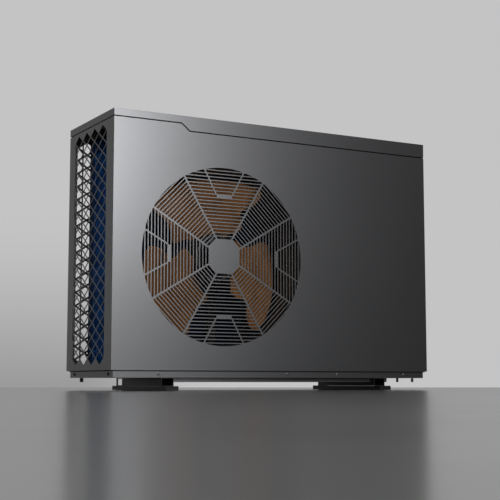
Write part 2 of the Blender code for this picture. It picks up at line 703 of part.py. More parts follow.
def make_compressor():
    x, y = COMPRESSOR
    turned("compressor", domed(COMPRESSOR_RADIUS, 0.018, 0.290, 0.030), 24, TANK_BLACK, (x, y, 0))
    base = PAN_FLOOR + 0.026
    reach = 0.066
    feet = [(x + reach * math.cos(math.radians(a)), y + reach * math.sin(math.radians(a)))
            for a in (90, 210, 330)]
    plate = []
    for angle, (foot_x, foot_y) in zip((90, 210, 330), feet):
        for turn in (-60, -20, 20, 60):
            a = math.radians(angle + turn)
            plate.append((foot_x + 0.016 * math.cos(a), foot_y + 0.016 * math.sin(a)))
    holes = [circle(foot_x, foot_y, 0.0065, 12) for foot_x, foot_y in feet]
    add("compressor_plate", flat_mesh(plate, holes, 0.003), BLACK_STEEL, (0, 0, base + 0.0015))
    for number, (foot_x, foot_y) in enumerate(feet):
        rubber = [(0.004, base + 0.010), (0.010, base + 0.010), (0.010, base + 0.0034), (0.006, base + 0.0034),
                  (0.006, base - GAP), (0.013, base - GAP), (0.011, PAN_FLOOR), (0.004, PAN_FLOOR)]
        turned("compressor_grommet_%d" % (number + 1), rubber, 12, RUBBER, (foot_x, foot_y, 0), ring=True)
    turned("accumulator", domed(0.030, 0.070, 0.235, 0.020), 16, TANK_BLACK, (*ACCUMULATOR, 0))


VALVE = (0.760, 0.190, 0.395)     # centre of the four-way valve's body
EXPANSION = (0.690, 0.120, 0.330)


def make_valves():
    x, y, z = VALVE
    valve = add("four_way_valve", cylinder_mesh(0.015, 0.100, 20), BRASS, (x - 0.050, y, z), ALONG_X)
    stubs = [(x, z, 1)] + [(x + offset, z, -1) for offset in (-0.028, 0, 0.028)]
    for stub_x, stub_z, way in stubs:
        low = stub_z if way > 0 else stub_z - 0.030
        combine(valve, cylinder_mesh(0.0075, 0.030, 12), "UNION", (stub_x, y, low))
    x, y, z = EXPANSION
    valve = add("expansion_valve", cylinder_mesh(0.011, 0.030, 16), BRASS, (x, y, z))
    combine(valve, cylinder_mesh(0.019, 0.034, 20), "UNION", (x, y, z + 0.025))


def make_pipes():
    x, y, z = VALVE
    low, high = z - 0.030 - GAP, z + 0.030 + GAP
    pipe = 0.0055
    tube("discharge_pipe", [(x, y, high), (x, y, high + 0.030), (x, y - 0.075, high + 0.030),
                            (x, y - 0.075, 0.318), (x, y - 0.020, 0.318), (x, y - 0.020, 0.2915)],
         pipe, 0.012, COPPER)
    tube("suction_pipe", [(x, y, low), (x, y, low - 0.020), (x, y + 0.065, low - 0.020),
                          (ACCUMULATOR[0], y + 0.065, low - 0.020), (ACCUMULATOR[0], y + 0.065, 0.236)],
         pipe, 0.012, COPPER)
    tube("hot_gas_pipe", [(x + 0.028, y, low), (x + 0.028, y, low - 0.020), (x + 0.065, y, low - 0.020),
                          (x + 0.065, y, 0.470), (BARREL[0], y, 0.470), (BARREL[0], BARREL[1], 0.470),
                          (BARREL[0], BARREL[1], 0.441)], pipe, 0.010, COPPER)
    header_x = COIL_X[1] + 0.016
    tube("coil_gas_pipe", [(x - 0.028, y, low), (x - 0.028, y, low - 0.020), (0.700, y, low - 0.020),
                           (0.700, y, 0.664), (header_x, y, 0.664), (header_x, 0.280, 0.664),
                           (header_x, 0.280, 0.621)], pipe, 0.012, COPPER)
    x, y, z = EXPANSION
    tube("liquid_pipe", [(BARREL[0], BARREL[1] - 0.040, 0.0115), (BARREL[0], BARREL[1] - 0.040, -0.002),
                         (BARREL[0], 0.050, -0.002), (x, 0.050, -0.002), (x, 0.050, 0.300),
                         (x, y, 0.300), (x, y, z - GAP)], 0.005, 0.010, COPPER)


# ---------------------------------------------------------------- water side
PORT_Y = BARREL[1] + BARREL_RADIUS + 0.0008
NUT_FRONT = DEPTH + 0.0104
NUT_REAR = DEPTH + UNION_REACH
COLLAR = (DEPTH + 0.0204, DEPTH + 0.0264)


def make_water_side():
    barrel = domed(BARREL_RADIUS, 0.012, 0.440, 0.022)
    turned("heat_exchanger", barrel, 24, PVC_GREY, (*BARREL, 0))
    bore = PIPE_RADIUS - 0.004
    tail = [(bore, COLLAR[1]), (0.0295, COLLAR[1]), (0.0295, COLLAR[0]), (PIPE_RADIUS, COLLAR[0]),
            (PIPE_RADIUS, PORT_Y), (bore, PORT_Y)]
    nut = [(0.0310, NUT_REAR), (0.0365, NUT_REAR), (0.0380, NUT_REAR - 0.003), (0.0380, NUT_FRONT + 0.003),
           (0.0365, NUT_FRONT), (0.0258, NUT_FRONT), (0.0258, NUT_FRONT + 0.008), (0.0310, NUT_FRONT + 0.008)]
    for side, z in (("inlet", INLET_Z), ("outlet", OUTLET_Z)):
        turned("water_%s_tube" % side, tail, 24, PVC_GREY, (WATER_X, 0, z), ALONG_Y, ring=True)
        axis = make_empty(side + "_axis", (WATER_X, 0, z), CASING)
        turned("union_nut_" + side, nut, 24, BLACK_PLASTIC, (0, 0, 0), ALONG_Y, axis, ring=True)


# ---------------------------------------------------------------- electrical box
BOX_LOW = (0.655, 0.014, 0.500)
BOX_HIGH = (0.985, 0.104, 0.640)
GLAND_X, GLAND_Z = 0.960, 0.560


def make_electrics():
    tray("control_box", BOX_LOW, BOX_HIGH, SHEET, (0, 1, 0), GALVANISED)
    x0, y1, z0 = BOX_LOW[0], BOX_HIGH[1], BOX_LOW[2]
    x1, z1 = BOX_HIGH[0], BOX_HIGH[2]
    box("control_cover", (x0, y1 + GAP, z0), (x1, y1 + GAP + SHEET, z1), GALVANISED)
    board_y = BOX_LOW[1] + 0.012
    box("control_board", (x0 + 0.012, board_y, z0 + 0.012), (x0 + 0.212, board_y + 0.0016, z1 - 0.012),
        BOARD_GREEN)
    box("terminal_block", (x1 - 0.095, BOX_LOW[1] + 0.004, z0 + 0.040),
        (x1 - 0.015, BOX_LOW[1] + 0.026, z0 + 0.070), BLACK_PLASTIC, 0.001)
    wall = DEPTH - SHEET
    gland = [(0.0065, DEPTH + 0.020), (0.0090, DEPTH + 0.020), (0.0115, DEPTH + 0.015),
             (0.0115, DEPTH + 0.006), (0.0135, DEPTH + 0.006), (0.0135, DEPTH + GAP),
             (0.0100, DEPTH + GAP), (0.0100, wall - 0.010), (0.0065, wall - 0.010)]
    turned("cable_gland", gland, 12, BLACK_PLASTIC, (GLAND_X, 0, GLAND_Z), ALONG_Y, ring=True)


make_front_panel()
make_top_cover()
make_side_panels()
make_rear()
make_base()
make_foot("left", FOOT_X[0])
make_foot("right", FOOT_X[1])
make_fan()
make_coil()
make_compressor()
make_valves()
make_pipes()
make_water_side()
make_electrics()
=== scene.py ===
"""The pool heat pump unit's looks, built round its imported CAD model.

Places are worked out from the CAD nodes' boxes.  The casing's corner is its front left corner at
the panels' bottom edge; at(x, y, z) turns lengths measured from that corner into the model's frame.
"""

import json
import math

import bmesh
import bpy
from mathutils import Matrix, Vector


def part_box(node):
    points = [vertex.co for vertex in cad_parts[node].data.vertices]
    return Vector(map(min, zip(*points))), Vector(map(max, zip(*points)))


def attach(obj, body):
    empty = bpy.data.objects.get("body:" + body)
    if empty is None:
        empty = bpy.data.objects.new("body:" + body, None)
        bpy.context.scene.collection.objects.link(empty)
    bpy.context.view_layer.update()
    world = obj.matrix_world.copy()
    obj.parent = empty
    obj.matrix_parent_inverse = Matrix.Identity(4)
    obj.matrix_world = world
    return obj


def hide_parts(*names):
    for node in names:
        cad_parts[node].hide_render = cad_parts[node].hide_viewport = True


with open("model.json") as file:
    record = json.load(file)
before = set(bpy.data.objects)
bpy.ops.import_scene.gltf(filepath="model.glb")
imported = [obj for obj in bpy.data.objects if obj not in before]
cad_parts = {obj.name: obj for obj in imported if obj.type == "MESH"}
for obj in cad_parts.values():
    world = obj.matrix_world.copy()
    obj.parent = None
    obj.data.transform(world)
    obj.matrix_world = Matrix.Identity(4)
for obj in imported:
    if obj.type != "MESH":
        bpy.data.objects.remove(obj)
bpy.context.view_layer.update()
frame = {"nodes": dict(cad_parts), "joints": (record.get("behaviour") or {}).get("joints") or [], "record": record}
NODES = frame["nodes"]
JOINTS = {joint["name"]: joint for joint in frame["joints"]}

PANEL_LOW, PANEL_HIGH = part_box("front_panel")
COVER_LOW, COVER_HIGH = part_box("top_cover")
CORNER = Vector(PANEL_LOW)
WIDTH = COVER_HIGH.x - COVER_LOW.x
DEPTH = COVER_HIGH.y - COVER_LOW.y
SHEET = PANEL_HIGH.y - PANEL_LOW.y
FAN = Vector(JOINTS["fan_spin"]["pos_m"])
FAN_X, FAN_Z = FAN.x - CORNER.x, FAN.z - CORNER.z


def at(x, y, z):
    """A point measured from the casing's corner."""
    return CORNER + Vector((x, y, z))


# ================================================================ materials
class Nodes:
    """A material's node tree, with short calls for what the materials here share."""

    def __init__(self, name):
        self.material = bpy.data.materials.new(name)
        self.material.use_nodes = True
        self.tree = self.material.node_tree
        self.shader = self.tree.nodes["Principled BSDF"]
        self.place = self.tree.nodes.new("ShaderNodeTexCoord").outputs["Object"]

    def node(self, kind, **settings):
        made = self.tree.nodes.new(kind)
        for key, value in settings.items():
            setattr(made, key, value)
        return made

    def link(self, source, target):
        self.tree.links.new(source, target)

    def noise(self, scale, detail=2.0, roughness=0.5):
        made = self.node("ShaderNodeTexNoise")
        made.inputs["Scale"].default_value = scale
        made.inputs["Detail"].default_value = detail
        made.inputs["Roughness"].default_value = roughness
        self.link(self.place, made.inputs["Vector"])
        return made.outputs["Fac"]

    def ramp(self, value, low, high, stops=(0.3, 0.7)):
        """Colours from low to high as a value runs between the two stops."""
        made = self.node("ShaderNodeValToRGB")
        for element, stop, colour in zip(made.color_ramp.elements, stops, (low, high)):
            element.position = stop
            element.color = (*colour, 1.0)
        self.link(value, made.inputs["Fac"])
        return made.outputs["Color"]

    def range(self, value, low, high):
        """A value from 0..1 carried to low..high."""
        made = self.node("ShaderNodeMapRange")
        made.inputs["To Min"].default_value = low
        made.inputs["To Max"].default_value = high
        self.link(value, made.inputs["Value"])
        return made.outputs["Result"]

    def bump(self, height, distance):
        """Relief of a depth in metres, from a height from 0 to 1."""
        made = self.node("ShaderNodeBump")
        made.inputs["Distance"].default_value = distance
        made.inputs["Strength"].default_value = 1.0
        self.link(height, made.inputs["Height"])
        return made.outputs["Normal"]

    def set(self, **values):
        """Constants on the shader's own sockets, such as Metallic or Coat_Weight."""
        for key, value in values.items():
            self.shader.inputs[key.replace("_", " ")].default_value = value
        return self


def shade(colour, factor):
    """A colour made lighter or darker."""
    return tuple(min(1.0, channel * factor) for channel in colour)


def finish(name, colour, rough, spread=0.12, mottling=9.0, grain=900.0, depth=0.00002, **constants):
    """A surface with slight colour mottling, uneven gloss and a fine grain."""
    n = Nodes(name)
    patches = n.ramp(n.noise(mottling, 4.0, 0.6), shade(colour, 1 - spread), shade(colour, 1 + spread))
    n.link(patches, n.shader.inputs["Base Color"])
    wear = n.noise(mottling * 7, 5.0, 0.6)
    n.link(n.range(wear, rough - 0.06, rough + 0.06), n.shader.inputs["Roughness"])
    n.link(n.bump(n.noise(grain), depth), n.shader.inputs["Normal"])
    n.set(**constants)
    return n.material


def graphite_paint():
    """Satin metallic powder coat: fine flakes, and a gloss that varies slowly."""
    n = Nodes("graphite_paint")
    grey = (0.099, 0.100, 0.104)
    flakes = n.noise(2600.0, 1.0, 0.5)
    n.link(n.ramp(flakes, shade(grey, 0.96), shade(grey, 1.04)), n.shader.inputs["Base Color"])
    cloud = n.noise(5.0, 3.0, 0.5)
    n.link(n.range(cloud, 0.317, 0.333), n.shader.inputs["Roughness"])
    n.set(Metallic=0.85)
    return n.material


def blade_plastic():
    """Bronze-tinted moulded plastic with faint flow lines from the hub outwards."""
    n = Nodes("bronze_blade")
    bronze = (0.180, 0.078, 0.026)
    flow = n.noise(14.0, 4.0, 0.65)
    n.link(n.ramp(flow, shade(bronze, 0.80), shade(bronze, 1.15)), n.shader.inputs["Base Color"])
    n.link(n.range(n.noise(60.0, 3.0), 0.34, 0.46), n.shader.inputs["Roughness"])
    n.link(n.bump(n.noise(700.0, 2.0), 0.00003), n.shader.inputs["Normal"])
    n.set(Specular_IOR_Level=0.12)
    return n.material


def coil_fin():
    """Blue hydrophilic coating on thin aluminium fins."""
    n = Nodes("blue_fin")
    blue = (0.003, 0.024, 0.085)
    patches = n.noise(30.0, 3.0)
    n.link(n.ramp(patches, shade(blue, 0.6), shade(blue, 1.3)), n.shader.inputs["Base Color"])
    n.link(n.range(n.noise(90.0, 2.0), 0.50, 0.60), n.shader.inputs["Roughness"])
    n.set(Specular_IOR_Level=0.05)
    return n.material


def circuit_board():
    """Green lacquer with copper tracks under it."""
    n = Nodes("circuit_board")
    bricks = n.node("ShaderNodeTexBrick")
    bricks.inputs["Color1"].default_value = (0.010, 0.120, 0.045, 1)
    bricks.inputs["Color2"].default_value = (0.014, 0.160, 0.060, 1)
    bricks.inputs["Mortar"].default_value = (0.030, 0.260, 0.110, 1)
    bricks.inputs["Scale"].default_value = 90.0
    bricks.inputs["Mortar Size"].default_value = 0.03
    n.link(n.place, bricks.inputs["Vector"])
    n.link(bricks.outputs["Color"], n.shader.inputs["Base Color"])
    n.link(n.range(n.noise(200.0), 0.3, 0.5), n.shader.inputs["Roughness"])
    return n.material


def floor_material():
    """Grey studio floor with a soft sheen."""
    n = Nodes("studio_floor")
    n.link(n.ramp(n.noise(3.0, 3.0), (0.055,) * 3, (0.065,) * 3), n.shader.inputs["Base Color"])
    n.link(n.range(n.noise(8.0), 0.21, 0.24), n.shader.inputs["Roughness"])
    return n.material


FINISHES = {
    "graphite_paint": graphite_paint(),
    "black_steel": finish("black_steel", (0.012, 0.012, 0.0125), 0.36, Specular_IOR_Level=0.16),
    "galvanised_steel": finish("galvanised_steel", (0.50, 0.51, 0.53), 0.38, 0.25, 45.0, 300.0, Metallic=0.9),
    "rubber": finish("rubber", (0.022, 0.022, 0.022), 0.75, 0.2, 30.0, 500.0, 0.0001),
    "black_plastic": finish("black_plastic", (0.009, 0.009, 0.010), 0.38, 0.15, 20.0, 1400.0, 0.00002,
                            Specular_IOR_Level=0.3),
    "bronze_blade": blade_plastic(),
    "blue_fin": coil_fin(),
    "copper": finish("copper", (0.62, 0.28, 0.15), 0.30, 0.25, 35.0, 500.0, Metallic=1.0),
    "brass": finish("brass", (0.62, 0.45, 0.19), 0.30, 0.2, 30.0, 500.0, Metallic=1.0),
    "bright_steel": finish("bright_steel", (0.55, 0.55, 0.56), 0.26, 0.1, 25.0, 800.0, Metallic=1.0),
    "black_enamel": finish("black_enamel", (0.014, 0.014, 0.015), 0.24, 0.1, 10.0, 300.0, Coat_Weight=0.4),
    "grey_pvc": finish("grey_pvc", (0.26, 0.27, 0.28), 0.36, 0.08, 15.0, 600.0),
    "circuit_board": circuit_board(),
}


# ================================================================ modelling tools
WELD_DISTANCE = 0.00001


def weld(mesh):
    """Join vertices that coincide, and turn every face outwards."""
    bm = bmesh.new()
    bm.from_mesh(mesh)
    bmesh.ops.remove_doubles(bm, verts=bm.verts, dist=WELD_DISTANCE)
    bmesh.ops.recalc_face_normals(bm, faces=bm.faces)
    bm.to_mesh(mesh)
    bm.free()
    return mesh


def piece(name, mesh, slot, body="casing", replaces=(), smooth=35):
    """Link a mesh, in the model's frame, as a named piece that rides on a body."""
    made = bpy.data.objects.new(name, mesh)
    bpy.context.scene.collection.objects.link(made)
    mesh.materials.clear()
    mesh.materials.append(FINISHES[slot])
    if smooth:
        mesh.shade_smooth()
        mesh.set_sharp_from_angle(angle=math.radians(smooth))
    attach(made, body)
    if replaces:
        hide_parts(*replaces)
    return made


def rounded(part, width):
    """Small rounded edges that keep the flat faces flat-looking."""
    bevel = part.modifiers.new("edge", "BEVEL")
    bevel.width = width
    bevel.segments = 2
    bevel.limit_method = "ANGLE"
    bevel.angle_limit = math.radians(40)
    bevel.harden_normals = True
    return part


def lathe(profile, centre, steps, closed=True):
    """A turned mesh: (radius, y) points, round a front-to-back axis through centre.

    A closed profile makes a ring; an open one starts and ends on the axis.
    """
    bm = bmesh.new()
    rings = []
    for radius, height in profile:
        if radius < 1e-7:
            rings.append([bm.verts.new((0, 0, height))])
            continue
        ring = []
        for step in range(steps):
            angle = math.tau * step / steps
            ring.append(bm.verts.new((radius * math.cos(angle), radius * math.sin(angle), height)))
        rings.append(ring)
    pairs = list(zip(rings, rings[1:]))
    if closed:
        pairs.append((rings[-1], rings[0]))
    for one, other in pairs:
        for i in range(steps):
            j = (i + 1) % steps
            if len(one) == 1:
                bm.faces.new((one[0], other[i], other[j]))
            elif len(other) == 1:
                bm.faces.new((one[i], one[j], other[0]))
            else:
                bm.faces.new((one[i], one[j], other[j], other[i]))
    bmesh.ops.recalc_face_normals(bm, faces=bm.faces)
    bm.transform(Matrix.Translation(centre) @ Matrix.Rotation(math.radians(-90), 4, "X"))
    mesh = bpy.data.meshes.new("turned")
    bm.to_mesh(mesh)
    bm.free()
    return mesh


def box_into(bm, low, high):
    """Add a box between two corners to a mesh being built."""
    made = bmesh.ops.create_cube(bm, size=1.0)["verts"]
    low, high = Vector(low), Vector(high)
    scale = Matrix.Diagonal((*(high - low), 1.0))
    bmesh.ops.transform(bm, matrix=Matrix.Translation((low + high) / 2) @ scale, verts=made)
    return made


def boxes(spans):
    """One mesh of several boxes, each given by its two corners."""
    bm = bmesh.new()
    for low, high in spans:
        box_into(bm, low, high)
    mesh = bpy.data.meshes.new("boxes")
    bm.to_mesh(mesh)
    bm.free()
    return mesh


def sheet_metal(outline, holes, thickness, matrix):
    """A flat sheet drawn in XY, with holes, carried into place by a matrix."""
    curve = bpy.data.curves.new("drawing", "CURVE")
    curve.dimensions = "2D"
    curve.fill_mode = "BOTH"
    curve.extrude = thickness / 2
    for points in (outline, *holes):
        spline = curve.splines.new("POLY")
        spline.points.add(len(points) - 1)
        for point, (x, y) in zip(spline.points, points):
            point.co = (x, y, 0, 1)
        spline.use_cyclic_u = True
    drawing = bpy.data.objects.new("drawing", curve)
    bpy.context.scene.collection.objects.link(drawing)
    depsgraph = bpy.context.evaluated_depsgraph_get()
    mesh = bpy.data.meshes.new_from_object(drawing.evaluated_get(depsgraph))
    bpy.data.objects.remove(drawing, do_unlink=True)
    mesh.transform(matrix)
    return weld(mesh)


FACING_FRONT = Matrix.Rotation(math.radians(90), 4, "X")    # a drawing's x to X, its y to Z


def pipe_mesh(routes, radius):
    """Round rods or pipes along one or more lines of points, as one mesh."""
    curve = bpy.data.curves.new("pipe", "CURVE")
    curve.dimensions = "3D"
    curve.bevel_depth = radius
    curve.bevel_resolution = 1
    curve.use_fill_caps = True
    for points in routes:
        spline = curve.splines.new("POLY")
        spline.points.add(len(points) - 1)
        for point, place in zip(spline.points, points):
            point.co = (*place, 1)
    drawing = bpy.data.objects.new("pipe", curve)
    bpy.context.scene.collection.objects.link(drawing)
    depsgraph = bpy.context.evaluated_depsgraph_get()
    mesh = bpy.data.meshes.new_from_object(drawing.evaluated_get(depsgraph))
    bpy.data.objects.remove(drawing, do_unlink=True)
    return weld(mesh)


def clip(polygon, point, normal):
    """The part of a convex polygon on the side of a line that its normal points to."""

    def height(corner):
        return (corner[0] - point[0]) * normal[0] + (corner[1] - point[1]) * normal[1]

    kept = []
    for here, there in zip(polygon, polygon[1:] + polygon[:1]):
        h0, h1 = height(here), height(there)
        if h0 >= 0:
            kept.append(here)
        if h0 * h1 < 0:
            t = h0 / (h0 - h1)
            kept.append((here[0] + t * (there[0] - here[0]), here[1] + t * (there[1] - here[1])))
    return kept


# ================================================================ the CAD nodes that stay
EDGE = {"front_panel": 0.00025, "left_side_panel": 0.00025, "heat_exchanger": 0.001}   # edge radii
USUAL_EDGE = 0.0004
# nodes whose names start so are curved and get smooth shading
ROUND = ("compressor", "accumulator", "heat_exchanger", "fan_motor", "motor_shaft", "compressor_grommet",
         "coil_header", "four_way_valve", "expansion_valve", "cable_gland", "water_", "drain_spout")


def finish_cad_nodes():
    """Give every CAD node its procedural finish and fine rounded edges."""
    slots = {part["node"]: part["material_slot"] for part in frame["record"]["subparts"]}
    for name, node in NODES.items():
        node.data.materials.clear()
        node.data.materials.append(FINISHES[slots[name]])
        curved = name.startswith(ROUND) or name.endswith("_pipe")
        if curved:
            node.data.shade_smooth()
        else:
            node.data.shade_flat()
        welded = node.modifiers.new("weld", "WELD")
        welded.merge_threshold = 0.00002
        rounded(node, EDGE.get(name, USUAL_EDGE)).modifiers["edge"].harden_normals = curved


finish_cad_nodes()


# ================================================================ fan
BLADE_MIDDLE = 101               # angle of the first blade's middle, from level on the right
BLADE_THICKNESS = 0.0030
BLADE_FRONT = (0.0460, 0.0125)   # the front edge's depth behind the front panel, at the hub and at the tip
BLADE_REAR = (0.1020, 0.1360)    # the rear edge's depth
HUB_RADIUS, TIP_RADIUS = 0.068, 0.225
HUB_FRONT, HUB_REAR = 0.040, 0.108
HUB_RIBS = 9
# radius, angle of the front edge and of the rear edge, from the blade's middle in degrees
BLADE_OUTLINE = [
    (0.0670, -34, 31),
    (0.0850, -45, 41),
    (0.1030, -51, 56),
    (0.1250, -43, 45),
    (0.1430, -37, 38),
    (0.1700, -44, 37),
    (0.1900, -46, 38),
    (0.2130, -46, 37),
    (TIP_RADIUS, -42, 32),
]


def blade_depth(share, s):
    """Depth of a point of the blade: share runs from hub to tip, s from the front to the rear edge."""
    lean = share ** 0.45
    front = BLADE_FRONT[0] + (BLADE_FRONT[1] - BLADE_FRONT[0]) * lean
    rear = BLADE_REAR[0] + (BLADE_REAR[1] - BLADE_REAR[0]) * lean
    arch = s + share * (math.sin(math.pi / 2 * s) - s)
    return front + (rear - front) * arch


def smooth_between(rows, share):
    """A point on the smooth curve through rows of numbers, at a share from 0 to 1 of their count."""
    place = share * (len(rows) - 1)
    index = min(int(place), len(rows) - 2)
    t = place - index
    before = rows[max(index - 1, 0)]
    after = rows[min(index + 2, len(rows) - 1)]
    point = []
    for p0, p1, p2, p3 in zip(before, rows[index], rows[index + 1], after):
        bend = 2 * p0 - 5 * p1 + 4 * p2 - p3
        twist = 3 * (p1 - p2) + p3 - p0
        point.append(p1 + 0.5 * t * ((p2 - p0) + t * (bend + t * twist)))
    return point


def blade_mesh(middle):
    """One swept, cambered blade as a curved sheet."""
    along, across = 26, 20
    bm = bmesh.new()
    rows = []
    for step in range(along + 1):
        radius, front, rear = smooth_between(BLADE_OUTLINE, step / along)
        share = max(0.0, (radius - HUB_RADIUS) / (TIP_RADIUS - HUB_RADIUS))
        row = []
        for cut in range(across + 1):
            s = cut / across
            angle = math.radians(middle + front + (rear - front) * s)
            row.append(bm.verts.new(at(FAN_X + radius * math.cos(angle), blade_depth(share, s),
                                       FAN_Z + radius * math.sin(angle))))
        rows.append(row)
    for inner, outer in zip(rows, rows[1:]):
        for i in range(across):
            bm.faces.new((inner[i], inner[i + 1], outer[i + 1], outer[i]))
    bmesh.ops.recalc_face_normals(bm, faces=bm.faces)
    mesh = bpy.data.meshes.new("blade")
    bm.to_mesh(mesh)
    bm.free()
    return mesh


def make_blades():
    """Three blades, each a thickened sheet with softened edges."""
    for number in range(3):
        name = "fan_blade_%d" % (number + 1)
        blade = piece(name + "_shell", blade_mesh(BLADE_MIDDLE + 120 * number), "bronze_blade", "fan", [name],
                      smooth=0)
        blade.data.shade_smooth()
        skin = blade.modifiers.new("thickness", "SOLIDIFY")
        skin.thickness = BLADE_THICKNESS
        skin.offset = 0.0
        skin.use_rim = True
        soft = blade.modifiers.new("soft_edges", "SUBSURF")
        soft.levels = soft.render_levels = 1


def make_hub():
    """The hub: a cup with a stepped nose, ribs inside its face and a boss for the shaft."""
    front, rear = HUB_FRONT, HUB_REAR
    centre = at(FAN_X, 0, FAN_Z)
    profile = [
        (0.0064, rear), (0.066, rear), (HUB_RADIUS, rear - 0.002),
        (HUB_RADIUS, front + 0.008), (0.0672, front + 0.004), (0.0652, front + 0.0012), (0.062, front),
        (0.056, front), (0.0545, front + 0.001), (0.0535, front + 0.006),
        (0.024, front + 0.006), (0.022, front + 0.004),
        (0.0205, front - 0.0002), (0.0195, front - 0.001), (0.0064, front - 0.001),
    ]
    piece("fan_hub_cup", lathe(profile, centre, 96), "black_plastic", "fan", ["fan_hub"])
    bm = bmesh.new()
    for number in range(HUB_RIBS):
        rib = box_into(bm, (0.0215, front + 0.001, -0.001), (0.0548, front + 0.0075, 0.001))
        turn = Matrix.Translation(centre) @ Matrix.Rotation(math.tau * number / HUB_RIBS, 4, "Y")
        bmesh.ops.transform(bm, matrix=turn, verts=rib)
    mesh = bpy.data.meshes.new("ribs")
    bm.to_mesh(mesh)
    bm.free()
    rounded(piece("fan_hub_ribs", mesh, "black_plastic", "fan"), 0.0003)


def make_shroud():
    """Bell-mouthed duct round the fan."""
    inner = []
    for step in range(11):
        angle = math.radians(9 * step)
        inner.append((0.2425 - 0.008 * math.sin(angle), 0.0032 + 0.030 * (1 - math.cos(angle))))
    outer = [(radius + 0.0020, y) for radius, y in reversed(inner)]
    profile = inner + [(0.2345, 0.130), (0.2362, 0.1495), (0.2384, 0.1495), (0.2365, 0.130)] + outer
    piece("fan_duct", lathe(profile, at(FAN_X, 0, FAN_Z), 120), "black_plastic", "casing", ["fan_shroud"])


make_blades()
make_hub()
make_shroud()


# ================================================================ evaporator coil
FIN_PITCH, FIN_THICKNESS = 0.0020, 0.00030
TUBE_ROWS, TUBE_PITCH = 26, 0.0254
TUBE_RADIUS, HAIRPIN_RADIUS = 0.0044, 0.0040


def make_coil():
    """Thin upright fins on level copper tubes, with hairpin bends outside the end plates."""
    low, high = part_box("evaporator_coil")
    spans = []
    for number in range(int((high.x - low.x) / FIN_PITCH)):
        x = low.x + FIN_PITCH * (number + 0.5)
        spans.append(((x - FIN_THICKNESS / 2, low.y, low.z), (x + FIN_THICKNESS / 2, high.y, high.z)))
    piece("coil_fins", boxes(spans), "blue_fin", "casing", ["evaporator_coil"], smooth=0)

    bottom = low.z + (high.z - low.z - TUBE_PITCH * (TUBE_ROWS - 1)) / 2
    columns = (low.y + 0.009, high.y - 0.009)
    runs = []
    for row in range(TUBE_ROWS):
        z = bottom + TUBE_PITCH * row
        runs += [[(low.x - 0.001, y, z), (high.x + 0.001, y, z)] for y in columns]
    piece("coil_tubes", pipe_mesh(runs, TUBE_RADIUS), "copper", "casing")
    bends = []
    for row in range(0, TUBE_ROWS - 1, 2):
        for y in columns:
            middle = bottom + TUBE_PITCH * (row + 0.5)
            bend = []
            for step in range(9):
                angle = math.radians(-90 + 180 * step / 8)
                bend.append((high.x + 0.003 + 0.010 * math.cos(angle), y,
                             middle + TUBE_PITCH / 2 * math.sin(angle)))
            bends.append(bend)
    piece("coil_hairpins", pipe_mesh(bends, HAIRPIN_RADIUS), "copper", "casing")


make_coil()


# ================================================================ diamond mesh at the back
MESH_X, MESH_Z = 0.0584, 0.0376   # one diamond cell
STRUT = 0.0054
MESH_BOTTOM = 0.0125
ROWS = 17
BAR = (0.0365, 0.0405)            # an upright bar beside the corner post


def span(polygon):
    """How wide a polygon is."""
    return max(x for x, _ in polygon) - min(x for x, _ in polygon)


def diamonds(first, last):
    """Diamond holes in interlaced columns, cut off at both upright edges and at the bar."""
    half_x, half_z = MESH_X / 2, MESH_Z / 2
    slant = math.hypot(half_x, half_z)
    hole_x = half_x - STRUT / 2 * slant / half_z
    hole_z = half_z - STRUT / 2 * slant / half_x
    holes = []
    column = -1
    while first + half_x * column < last:
        between = column % 2
        centre = first + half_x * (column + 1)
        for row in range(ROWS - between):
            middle = MESH_BOTTOM + half_z * (1 + between) + MESH_Z * row
            hole = [(centre - hole_x, middle), (centre, middle - hole_z),
                    (centre + hole_x, middle), (centre, middle + hole_z)]
            hole = clip(clip(hole, (first, 0), (1, 0)), (last, 0), (-1, 0))
            for part in (clip(hole, (BAR[0], 0), (-1, 0)), clip(hole, (BAR[1], 0), (1, 0))):
                if len(part) > 2 and span(part) > 0.001:
                    holes.append(part)
        column += 1
    return holes


def make_rear_guard():
    """The guard sheet in front of the coil's back, cut with the diamond mesh."""
    low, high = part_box("rear_guard")
    x0, x1 = low.x - CORNER.x, high.x - CORNER.x
    z1 = high.z - CORNER.z
    outline = [(x0, 0), (x1, 0), (x1, z1), (x0, z1)]
    holes = diamonds(x0 + 0.004, x1 - 0.014)
    place = Matrix.Translation(CORNER + Vector((0, DEPTH - SHEET / 2, 0))) @ FACING_FRONT
    mesh = sheet_metal(outline, holes, SHEET, place)
    piece("rear_guard_mesh", mesh, "black_steel", "casing", ["rear_guard"], smooth=0)


make_rear_guard()


# ================================================================ screws
def screw_mesh():
    """A hexagon-headed sheet-metal screw with a pressed washer, its head towards -Y."""
    washer = lathe([(0, 0), (0.0042, 0), (0.0042, -0.0006), (0.0037, -0.0009), (0, -0.0009)],
                   (0, 0, 0), 24, closed=False)
    head = lathe([(0, -0.0008), (0.0029, -0.0008), (0.0029, -0.0024), (0.0024, -0.0029), (0, -0.0029)],
                 (0, 0, 0), 6, closed=False)
    bm = bmesh.new()
    bm.from_mesh(washer)
    bm.from_mesh(head)
    mesh = bpy.data.meshes.new("screw")
    bm.to_mesh(mesh)
    bm.free()
    return mesh


SCREW = screw_mesh()
TURNS = {"front": 0, "right": 90, "back": 180, "left": -90}


def screw(name, place, side, slot="bright_steel"):
    """One screw on a face, its head pointing out of that side of the casing."""
    mesh = SCREW.copy()
    mesh.transform(Matrix.Translation(place) @ Matrix.Rotation(math.radians(TURNS[side]), 4, "Z"))
    return piece(name, mesh, slot)


